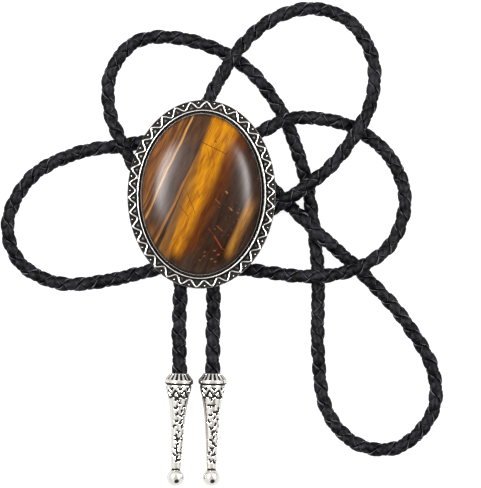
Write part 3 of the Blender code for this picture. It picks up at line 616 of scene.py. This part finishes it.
def tigersEye():
    # tiger's eye, quartz full of parallel silky fibres, cut as a cabochon and polished to glass: gold and brown
    # bands under a clear wet gloss
    material, tree, shader = startMaterial("polished tiger's eye", {
        "Metallic": 0.0, "Roughness": 0.30, "Coat Weight": 0.09, "Coat Roughness": 0.27, "Coat IOR": 1.54,
        "Specular IOR Level": 0.02})
    place = addNode(tree, "TexCoord").outputs["Object"]
    flat = addNode(tree, "Mapping", {"Vector": place, "Location": (0, -view["slideY"], 0),
                                     "Scale": (1 / mm, 1 / mm, 0)})
    lean = math.radians(stone["bandLean"])
    along = addNode(tree, "VectorMath", {0: flat.outputs[0], 1: (math.cos(lean), math.sin(lean), 0)},
                    operation="DOT_PRODUCT").outputs["Value"]
    across = addNode(tree, "VectorMath", {0: flat.outputs[0], 1: (math.sin(lean), -math.cos(lean), 0)},
                     operation="DOT_PRODUCT").outputs["Value"]
    wander = addNode(tree, "TexNoise", {"Vector": flat.outputs[0], "Scale": 0.09, "Detail": 1.0})
    drift = addNode(tree, "Math", {0: wander.outputs["Fac"], 1: 0.5}, operation="SUBTRACT")
    bent = addNode(tree, "Math", {0: drift.outputs[0], 1: 1.1, 2: across}, operation="MULTIPLY_ADD").outputs[0]
    stretched = addNode(tree, "CombineXYZ", {"X": bent, "Y": along})
    fibres = addNode(tree, "Mapping", {"Vector": stretched.outputs[0], "Scale": (3.6, 0.22, 1)})
    fine = addNode(tree, "TexNoise", {"Vector": fibres.outputs[0], "Scale": 1.0, "Detail": 5.0, "Roughness": 0.62})
    broad = addNode(tree, "Mapping", {"Vector": stretched.outputs[0], "Scale": (0.55, 0.11, 1)})
    cloud = addNode(tree, "TexNoise", {"Vector": broad.outputs[0], "Scale": 1.0, "Detail": 3.0})
    both = addNode(tree, "Math", {0: fine.outputs["Fac"], 1: cloud.outputs["Fac"]}, operation="ADD")
    silk = addNode(tree, "MapRange", {"Value": both.outputs[0], "From Min": 0.78, "From Max": 1.22}).outputs[0]
    darkGround, lightGround = stone["ground"]
    colour = addNode(tree, "Mix", {0: silk, 6: linearColor(darkGround), 7: linearColor(lightGround)},
                     data_type="RGBA").outputs[2]
    for leftEdge, leftLean, leftSoft, rightEdge, rightLean, rightSoft, low, high, dark, light in stone["bands"]:
        fromLeft = addNode(tree, "Math", {0: along, 1: -leftLean, 2: bent}, operation="MULTIPLY_ADD").outputs[0]
        fromRight = addNode(tree, "Math", {0: along, 1: -rightLean, 2: bent}, operation="MULTIPLY_ADD").outputs[0]
        limits = [(fromLeft, leftEdge, leftSoft / 2, 0.0), (fromRight, rightEdge, rightSoft / 2, 1.0)]
        if low > -40:
            limits.append((along, low, stone["lowerFade"], 0.0))
        if high < 40:
            limits.append((along, high, stone["upperFade"], 1.0))
        inside = 1.0
        for reach, middle, fade, before in limits:
            share = addNode(tree, "MapRange", {"Value": reach, "From Min": middle - fade,
                                               "From Max": middle + fade, "To Min": before,
                                               "To Max": 1 - before}, interpolation_type="SMOOTHSTEP")
            inside = addNode(tree, "Math", {0: inside, 1: share.outputs[0]}, operation="MULTIPLY").outputs[0]
        tone = addNode(tree, "Mix", {0: silk, 6: linearColor(dark), 7: linearColor(light)}, data_type="RGBA")
        colour = addNode(tree, "Mix", {0: inside, 6: colour, 7: tone.outputs[2]},
                         data_type="RGBA").outputs[2]
    for start, end, width, shade, strength in stone["veins"]:
        length = math.dist(start, end)
        way = ((end[0] - start[0]) / length, (end[1] - start[1]) / length)
        fromStart = addNode(tree, "VectorMath", {0: flat.outputs[0], 1: (*start, 0)}, operation="SUBTRACT")
        reach = addNode(tree, "VectorMath", {0: fromStart.outputs[0], 1: (*way, 0)}, operation="DOT_PRODUCT")
        held = addNode(tree, "Clamp", {"Value": reach.outputs["Value"], "Min": 0.0, "Max": length})
        onLine = addNode(tree, "VectorMath", {0: (*way, 0), "Scale": held.outputs[0]}, operation="SCALE")
        gap = addNode(tree, "VectorMath", {0: fromStart.outputs[0], 1: onLine.outputs[0]}, operation="DISTANCE")
        line = addNode(tree, "MapRange", {"Value": gap.outputs["Value"], "From Min": width / 4, "From Max": width,
                                          "To Min": strength, "To Max": 0.0}, interpolation_type="SMOOTHSTEP")
        colour = addNode(tree, "Mix", {0: line.outputs[0], 6: colour, 7: linearColor(shade)},
                         data_type="RGBA").outputs[2]
    # dull red flecks, 0.3 to 0.8 mm, in the lower right of the stone
    spots = addNode(tree, "TexNoise", {"Vector": flat.outputs[0], "Scale": 0.95, "Detail": 2.0})
    fleck = addNode(tree, "MapRange", {"Value": spots.outputs["Fac"], "From Min": 0.66, "From Max": 0.71,
                                       "To Max": 0.6})
    rightwards = addNode(tree, "MapRange", {"Value": bent, "From Min": 5.0, "From Max": 7.5})
    downwards = addNode(tree, "MapRange", {"Value": along, "From Min": 0.0, "From Max": 6.0,
                                           "To Min": 1.0, "To Max": 0.0})
    fleck = addNode(tree, "Math", {0: fleck.outputs[0], 1: rightwards.outputs[0]}, operation="MULTIPLY")
    fleck = addNode(tree, "Math", {0: fleck.outputs[0], 1: downwards.outputs[0]}, operation="MULTIPLY")
    colour = addNode(tree, "Mix", {0: fleck.outputs[0], 6: colour, 7: linearColor("#8E5A48")},
                     data_type="RGBA").outputs[2]
    # the steep edge of the dome mirrors the dark bezel
    height = addNode(tree, "SeparateXYZ", {0: place})
    edgeLow, edgeHigh = (lift * mm for lift in stone["edgeShade"])
    edge = addNode(tree, "MapRange", {"Value": height.outputs["Z"], "From Min": edgeLow, "From Max": edgeHigh,
                                      "To Min": 0.6, "To Max": 0.0}, interpolation_type="SMOOTHSTEP")
    colour = addNode(tree, "Mix", {0: edge.outputs[0], 6: colour, 7: linearColor("#20140A")},
                     data_type="RGBA").outputs[2]
    tree.links.new(colour, shader.inputs["Base Color"])
    return material


stoneTurns = np.linspace(0, math.tau, stone["columns"], endpoint=False)
edgeX, edgeY = ovalRing(stoneTurns, stone["inset"] + stone["insetGain"] * np.clip(np.sin(stoneTurns), 0, 1))
stoneRings = []
stoneLevels = [(1.0, 0.0), (1.0, stone["girdle"] * 0.6), (1.0, stone["girdle"])]
for k in range(1, stone["rings"]):
    swing = math.pi / 2 * k / stone["rings"]
    level = math.sin(swing)
    share = (1 - level ** stone["domePower"]) ** (1 / stone["domePower"])
    stoneLevels.append((share, stone["girdle"] + (stone["height"] - stone["girdle"]) * level))
for share, lift in stoneLevels:
    z = np.full_like(edgeX, stone["base"] + lift)
    stoneX, stoneY = layAskew(edgeX * share, edgeY * share)
    stoneRings.append(np.stack([stoneX, stoneY, z], axis=1) * mm)
stonePoints = np.concatenate(stoneRings + [np.array([[*layAskew(0, 0), stone["base"] + stone["height"]]]) * mm])
stoneFaces = domeFaces(len(stoneRings), stone["columns"])
cabochon = makePiece("cabochon", stonePoints, stoneFaces, tigersEye(), 60)
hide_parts("stone")
print("stone set")


# cast cord ends with a ribbed collar, a flange, a carved taper and a ball

tipDetail = {
    "columns": 210, "rows": 270,
    # share of the length, radius in mm
    "profile": [(0.000, 2.95), (0.012, 3.15), (0.050, 4.30), (0.060, 4.52), (0.066, 4.60), (0.087, 4.60),
                (0.094, 4.40), (0.100, 3.96), (0.106, 3.98), (0.118, 4.12), (0.150, 3.90), (0.200, 3.42),
                (0.300, 2.82), (0.400, 2.42), (0.500, 2.18), (0.620, 1.98), (0.720, 1.82), (0.820, 1.66),
                (0.838, 1.62), (0.846, 1.40)],
    "neck": 1.40, "ballRows": 40,
    # radius, depth in the cord's socket, polish
    "socketRings": [(2.62, -0.05, 0.8), (2.42, 0.25, 0.1), (2.42, 7.8, 0.1)],
    "ribs": 16, "ribSpan": (0.006, 0.054), "ribGapDepth": 0.35,
    "flangeLine": (0.0945, 0.32),       # share of the length, width in mm
    "neckLine": (0.15, 0.24),           # mm before the ball, width in mm
    "flankShadeWidth": 22.0, "flankShadeDepth": 0.46,     # painted shade: the flanks darker than front and back, standing in for the shade they mirror
    # painted shade on the side toward the other tip: shares of the length, widths in degrees, strengths
    "innerShares": (0.0, 0.18, 0.45, 0.8), "innerWidths": (34, 30, 22, 14), "innerShade": (0.6, 0.6, 0.4, 0.1),
    "strokeWidth": 0.65, "strokeDepth": 0.28,
    "bandRepeats": 8, "bandTurn": 8,    # the turn in degrees
    # strokes of one repeat of the band: share of the repeat, degrees past that, share of the length
    "band": [[(0, -8, 0.127), (0, 0, 0.148), (0, 8, 0.127)],
             [(0, 0, 0.205), (0.5, 0, 0.150), (1, 0, 0.205)],
             [(0, 6, 0.198), (0.5, 0, 0.215), (1, -10, 0.212)]],
    "scrollRows": 19, "scrollSpan": (0.235, 0.775),
    "scrollSides": (18, 198),           # degrees round: front and back, and the flanks stay plain
    "scrollApart": 30, "scrollStray": (8, 0.006),   # degrees, and a share of the length
    "scrollSize": (0.45, 0.75), "scrollSweep": (1.2, 3.4), "scrollPoints": 6, "scrollShrink": 0.09,
    "seed": 5,
}


def tipStrokes(seed):
    # short carved strokes as rows of points (degrees round from the top, share of the length)
    luck = random.Random(seed)
    strokes = []
    step = 360 / tipDetail["bandRepeats"]
    for k in range(tipDetail["bandRepeats"]):
        middle = k * step + tipDetail["bandTurn"]
        for stroke in tipDetail["band"]:
            strokes.append([(middle + step * repeat + past, share) for repeat, past, share in stroke])
    turnStray, shareStray = tipDetail["scrollStray"]
    for side in tipDetail["scrollSides"]:
        for row, share in enumerate(np.linspace(*tipDetail["scrollSpan"], tipDetail["scrollRows"])):
            radius = np.interp(share, *zip(*tipDetail["profile"]))
            for column in ((-1, 1), (0,))[row % 2]:
                middle = side + column * tipDetail["scrollApart"] + luck.uniform(-turnStray, turnStray)
                centre = share + luck.uniform(-shareStray, shareStray)
                size = luck.uniform(*tipDetail["scrollSize"])
                begin = luck.uniform(0, math.tau)
                sweep = luck.uniform(*tipDetail["scrollSweep"]) * luck.choice((-1, 1))
                stroke = []
                for k in range(tipDetail["scrollPoints"]):
                    swing = begin + sweep * k / (tipDetail["scrollPoints"] - 1)
                    grow = 1 - tipDetail["scrollShrink"] * k
                    stroke.append((middle + math.degrees(size * grow * math.cos(swing) / radius),
                                   centre + size * grow * math.sin(swing) / tipShape["length"]))
                strokes.append(stroke)
    return strokes


tipAngles = np.linspace(0, math.tau, tipDetail["columns"], endpoint=False)


def tipGrid(seed, innerSide):
    # rings of points down the tip and the polish at each, before it is put in its place
    length, neck = tipShape["length"], tipDetail["neck"]
    ball = tipShape["ballDiameter"] / 2
    ballMiddle = length - ball
    ballStart = math.asin(neck / ball)
    outline = [(share * length, radius) for share, radius in tipDetail["profile"]]
    straight = ballMiddle - ball * math.cos(ballStart)
    outline += [(straight - 0.25, neck), (straight, neck)]
    ballRows = tipDetail["ballRows"]
    along = np.linspace(0, 1, tipDetail["rows"] - ballRows) * straight
    radius = np.interp(along, *zip(*outline))
    swings = ballStart + (math.pi - ballStart) * (np.arange(ballRows) + 0.5) / (ballRows + 0.5)
    along = np.concatenate([along, ballMiddle - ball * np.cos(swings)])
    radius = np.concatenate([radius, ball * np.sin(swings)])
    alongGrid, angleGrid = np.meshgrid(along, tipAngles, indexing="ij")
    radiusGrid = np.repeat(radius[:, None], len(tipAngles), axis=1)
    height, polish = np.zeros_like(radiusGrid), np.ones_like(radiusGrid)
    fromTop = np.degrees(math.pi / 2 - angleGrid)      # degrees round from the top, growing to the right
    ribStart, ribEnd = (share * length for share in tipDetail["ribSpan"])
    onCollar = (alongGrid > ribStart) & (alongGrid < ribEnd)
    ribWave = np.cos(np.radians(fromTop) * tipDetail["ribs"])
    gapShare = smoothStep(-ribWave, -0.4, 0.15)
    height = np.where(onCollar, -tipDetail["ribGapDepth"] * gapShare, height)
    polish = np.where(onCollar, 1 - gapShare, polish)
    flank = np.abs(np.abs((fromTop + 180) % 360 - 180) - 90)       # degrees from the nearer of the tip's two flanks
    # painted shade along both flanks
    polish = polish * (1 - tipDetail["flankShadeDepth"] * np.exp(-(flank / tipDetail["flankShadeWidth"]) ** 2))
    # painted shade: the side toward the other tip darker, standing in for the other tip mirrored in it
    innerAway = np.abs((fromTop - innerSide * 90 + 180) % 360 - 180)
    innerWidth = np.interp(alongGrid / length, tipDetail["innerShares"], tipDetail["innerWidths"])
    innerShade = np.interp(alongGrid / length, tipDetail["innerShares"], tipDetail["innerShade"])
    polish = polish * (1 - innerShade * np.exp(-(innerAway / innerWidth) ** 2))
    flangeShare, flangeWidth = tipDetail["flangeLine"]
    neckAway, neckWidth = tipDetail["neckLine"]
    # a black line on the flange's lower slope, partly patina in the groove under the flange and partly painted
    # shade under it, and a blackened line at the neck
    for middle, width in ((flangeShare * length, flangeWidth), (straight - neckAway, neckWidth)):
        polish = np.minimum(polish, 1 - np.clip(2 * np.exp(-((alongGrid - middle) / width) ** 2), 0, 1))
    cut = np.zeros_like(radiusGrid)
    for stroke in tipStrokes(seed):
        for (turnA, shareA), (turnB, shareB) in zip(stroke, stroke[1:]):
            middleTurn = (turnA + turnB) / 2
            offset = (fromTop - middleTurn + 180) % 360 - 180
            x = np.radians(offset) * radiusGrid
            y = alongGrid - (shareA + shareB) / 2 * length
            halfX = np.radians((turnB - turnA) / 2) * radiusGrid
            halfY = (shareB - shareA) / 2 * length
            share = np.clip((x * halfX + y * halfY) / (halfX ** 2 + halfY ** 2 + 1e-9), -1, 1)
            gap = np.hypot(x - share * halfX, y - share * halfY) / (tipDetail["strokeWidth"] / 2)
            cut = np.maximum(cut, 1 - smoothStep(gap, 0.75, 1.25))
    height = height - cut * tipDetail["strokeDepth"]
    polish = np.minimum(polish, 1 - cut)
    reach = radiusGrid + height
    points = np.stack([reach * np.cos(angleGrid), -alongGrid, reach * np.sin(angleGrid)], axis=-1)
    return points, polish


def castTip(name, node, x, lean, seed):
    points, polish = tipGrid(seed, 1 if x < 0 else -1)
    rings, shine = list(points), list(polish)
    for radius, depth, ringPolish in tipDetail["socketRings"]:
        ring = [radius * np.cos(tipAngles), np.full_like(tipAngles, -depth), radius * np.sin(tipAngles)]
        rings.insert(0, np.stack(ring, axis=1))
        shine.insert(0, np.full_like(tipAngles, ringPolish))
    endPoint = np.array([[0, -tipShape["length"], 0]])
    flatPoints = np.concatenate(rings + [endPoint])
    place = tipPlace(x, lean)
    placed = [place @ Vector(p * mm) for p in flatPoints]
    tip = makePiece(name, placed, domeFaces(len(rings), len(tipAngles)), silverTips, 60)
    storeValues(tip, "polish", np.concatenate(shine + [np.array([1.0])]))
    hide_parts(node)
    return tip


silverTips = antiqueSilver("antique silver, tips", 0.6, 0.14)
leftTip = castTip("cast_tip_left", "tip_left", tipShape["leftX"], tipShape["leftLean"], tipDetail["seed"])
rightTip = castTip("cast_tip_right", "tip_right", tipShape["rightX"], tipShape["rightLean"], tipDetail["seed"] + 4)
print("tips cast")


def brushedSteel():
    # stamped stainless steel, brushed along its length: a soft grey streaky gleam
    material, tree, shader = startMaterial("brushed stainless steel", {"Metallic": 1.0, "Roughness": 0.36})
    place = addNode(tree, "TexCoord").outputs["Object"]
    streaks = addNode(tree, "Mapping", {"Vector": place, "Scale": (9000.0, 400.0, 9000.0)})  # 0.1 mm brush lines
    brush = addNode(tree, "TexNoise", {"Vector": streaks.outputs[0], "Scale": 1.0, "Detail": 3.0})
    colour = addNode(tree, "Mix", {0: brush.outputs["Fac"], 6: linearColor("#A9A9AA"), 7: linearColor("#C6C6C6")},
                     data_type="RGBA")
    tree.links.new(colour.outputs[2], shader.inputs["Base Color"])
    bump = addNode(tree, "Bump", {"Height": brush.outputs["Fac"], "Strength": 0.15, "Distance": 0.00005})
    tree.links.new(bump.outputs[0], shader.inputs["Normal"])
    return material


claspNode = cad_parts["clasp"]
steel = brushedSteel()
claspNode.data.materials.clear()
claspNode.data.materials.append(steel)
print("clasp finished")


# pale table and soft studio light

studio = {
    "tableColor": "#B8B8B8",
    "tableSize": 3000.0,
    "tableGlow": 0.84,              # lit a little from below
    "skyLow": 1.2, "skyMiddle": 1.65, "skyTop": 1.1,
    "darkWay": (0.25, -0.80, 0.55), "darkSize": (0.84, 0.91), "darkGlow": 0.03,   # the tent's opening
    # name, place, size, watts
    "lamps": [
        ("left softbox", (-429.0, 165.0, 600.0), (400.0, 220.0), 29.0),
        ("right softbox", (566.0, 157.0, 520.0), (340.0, 90.0), 10.5),
        ("right softbox, its soft edge", (566.0, 157.0, 520.0), (420.0, 210.0), 14.0),
    ],
}
tableMesh = bpy.data.meshes.new("table")
half = studio["tableSize"] / 2 * mm
tableMesh.from_pydata([(-half, -half, 0), (half, -half, 0), (half, half, 0), (-half, half, 0)], [], [(0, 1, 2, 3)])
table = bpy.data.objects.new("table", tableMesh)
bpy.context.scene.collection.objects.link(table)
whiteCard = startMaterial("matt white card", {
    "Metallic": 0.0, "Roughness": 0.9, "Base Color": linearColor(studio["tableColor"]),
    "Emission Color": (1, 1, 1, 1), "Emission Strength": studio["tableGlow"]})[0]
tableMesh.materials.append(whiteCard)

world = bpy.data.worlds.new("studio")
bpy.context.scene.world = world
world.use_nodes = True
sky = world.node_tree
direction = addNode(sky, "TexCoord").outputs["Generated"]
upward = addNode(sky, "SeparateXYZ", {0: direction})
fromLow = addNode(sky, "MapRange", {"Value": upward.outputs["Z"], "From Min": 0.0, "From Max": 0.6,
                                    "To Min": studio["skyLow"], "To Max": studio["skyMiddle"]})
toTop = addNode(sky, "MapRange", {"Value": upward.outputs["Z"], "From Min": 0.7, "From Max": 0.95,
                                  "To Min": 0.0, "To Max": 1.0}, interpolation_type="SMOOTHSTEP")
brightness = addNode(sky, "Mix", {0: toTop.outputs[0], 2: fromLow.outputs[0], 3: studio["skyTop"]},
                     data_type="FLOAT")
opening = addNode(sky, "VectorMath", {0: direction, 1: studio["darkWay"]}, operation="DOT_PRODUCT")
unlit = addNode(sky, "MapRange", {"Value": opening.outputs["Value"], "From Min": studio["darkSize"][0],
                                  "From Max": studio["darkSize"][1], "To Min": 1.0, "To Max": studio["darkGlow"]},
                interpolation_type="SMOOTHSTEP")
brightness = addNode(sky, "Math", {0: brightness.outputs[0], 1: unlit.outputs[0]}, operation="MULTIPLY")
sky.links.new(brightness.outputs[0], sky.nodes["Background"].inputs["Strength"])
sky.nodes["Background"].inputs["Color"].default_value = (1, 1, 1, 1)

for name, spot, size, watts in studio["lamps"]:
    lamp = bpy.data.lights.new(name, "AREA")
    lamp.shape = "RECTANGLE"
    lamp.size, lamp.size_y = size[0] * mm, size[1] * mm
    lamp.energy = watts
    lampObject = bpy.data.objects.new(name, lamp)
    lampObject.location = Vector(spot) * mm
    lampObject.visible_diffuse = False      # it gives gloss alone; the sky lights the table evenly
    aim = Vector((0, view["slideY"] * mm, 0)) - lampObject.location
    lampObject.rotation_euler = aim.to_track_quat("-Z", "Y").to_euler()
    bpy.context.scene.collection.objects.link(lampObject)
print("studio lit")
